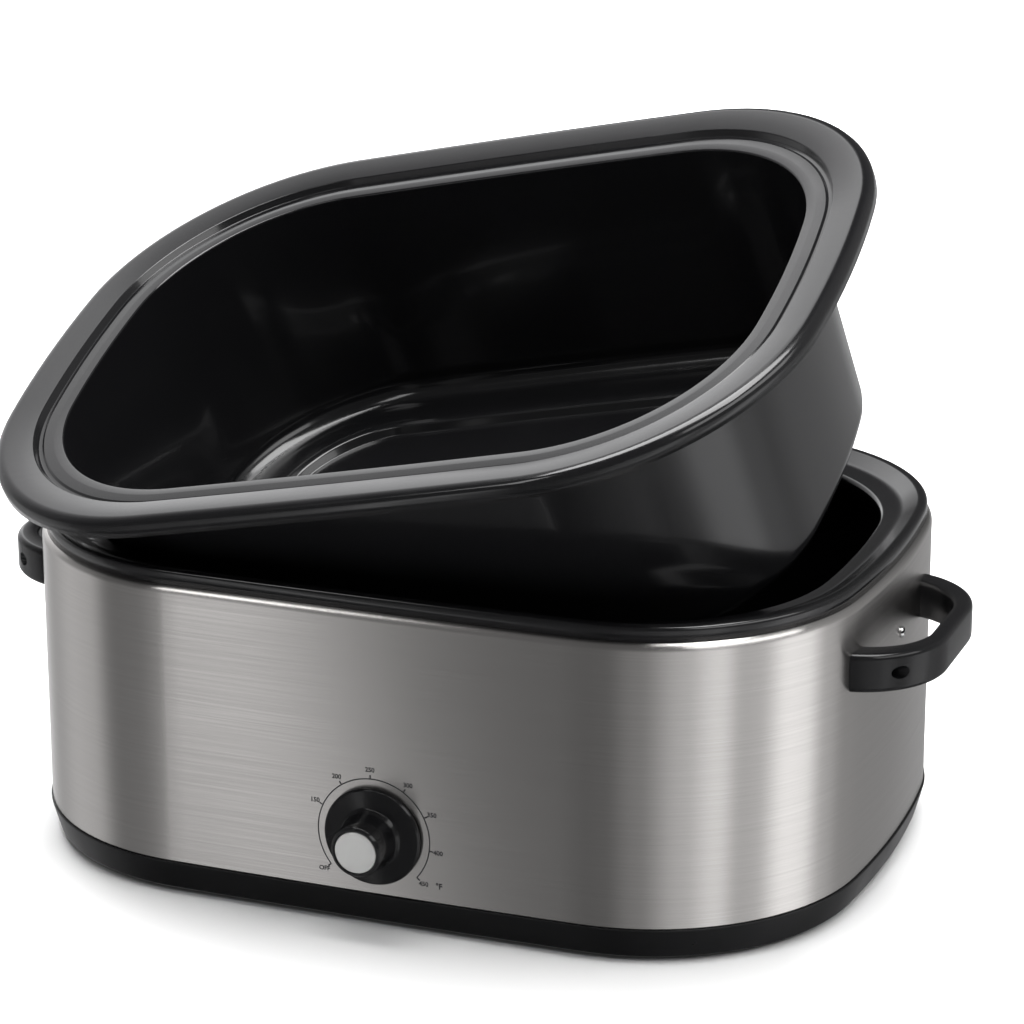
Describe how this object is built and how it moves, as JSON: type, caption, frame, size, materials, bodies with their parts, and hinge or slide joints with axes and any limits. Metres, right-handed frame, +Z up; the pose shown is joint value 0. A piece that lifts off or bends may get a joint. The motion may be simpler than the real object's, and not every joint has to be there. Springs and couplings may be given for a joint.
{
  "type": "electric roaster oven",
  "caption": "Oval countertop roaster oven: stainless wrap, black collar and tray, heated well, dial, end handles and a deep rimmed pan that tips up out of the well.",
  "frame": {"origin": "middle of the flat underside of the base tray; the feet reach 3 mm below it", "axes": "+Z up, the dial faces -Y, the handles are on the ends along X"},
  "size_m": [0.641, 0.4561, 0.4599],
  "materials": {
    "stainless_wrap": "brushed stainless, fine horizontal grain",
    "satin_black_tray": "satin black moulding",
    "black_enamel": "glossy black porcelain enamel",
    "handle_plastic": "semi-gloss black phenolic",
    "silver_insert": "spun silver disc",
    "bright_fastener": "bright plated steel",
    "zinc_steel": "zinc-plated sheet",
    "mica_band": "mica laminate",
    "glass_fibre": "felted glass fibre",
    "phenolic": "moulded phenolic",
    "ceramic": "unglazed ceramic",
    "rubber_black": "black rubber",
    "copper": "drawn copper tube",
    "lead_sleeve": "silicone sleeved lead"
  },
  "bodies": {
    "base": {"base_tray": "satin_black_tray", "bulb_clips": "zinc_steel", "capillary_tube": "copper", "cord_gland": "rubber_black", "element_clamp": "bright_fastener", "element_terminals": "zinc_steel", "end_screws": "bright_fastener", "foot_front_left": "rubber_black", "foot_front_right": "rubber_black", "foot_rear_left": "rubber_black", "foot_rear_right": "rubber_black", "fuse_clip": "zinc_steel", "handle_left": "handle_plastic", "handle_nuts": "bright_fastener", "handle_plate_left": "zinc_steel", "handle_plate_right": "zinc_steel", "handle_right": "handle_plastic", "handle_screws": "bright_fastener", "heat_shield": "zinc_steel", "heating_element": "mica_band", "inner_well": "black_enamel", "insulation_blanket": "glass_fibre", "outer_wrap": "stainless_wrap", "seam_rivets": "stainless_wrap", "sensing_bulb": "copper", "terminal_block": "ceramic", "thermal_fuse": "ceramic", "thermostat_body": "phenolic", "thermostat_bracket": "zinc_steel", "thermostat_screws": "bright_fastener", "tie_screws": "bright_fastener", "top_collar": "black_enamel", "well_posts": "zinc_steel", "wire_bridge": "lead_sleeve", "wire_line": "lead_sleeve", "wire_load": "lead_sleeve", "wire_neutral": "lead_sleeve"},
    "control_knob": {"thermostat_shaft": "zinc_steel", "knob": "handle_plastic", "knob_insert": "silver_insert", "knob_spring": "zinc_steel"},
    "pan": {"pan": "black_enamel"}
  },
  "joints": [
    {"name": "pan_tilt", "type": "hinge", "parent": "base", "child": "pan", "pos_m": [-0.19896, -0.29563, 0.16573], "axis": [0.8296, -0.5583, 0], "range_deg": [-22.92, 12]},
    {"name": "knob_turn", "type": "hinge", "parent": "base", "child": "control_knob", "pos_m": [0.0032, -0.2075, 0.0598], "axis": [0, 1, 0], "range_deg": [0, 259]}
  ]
}
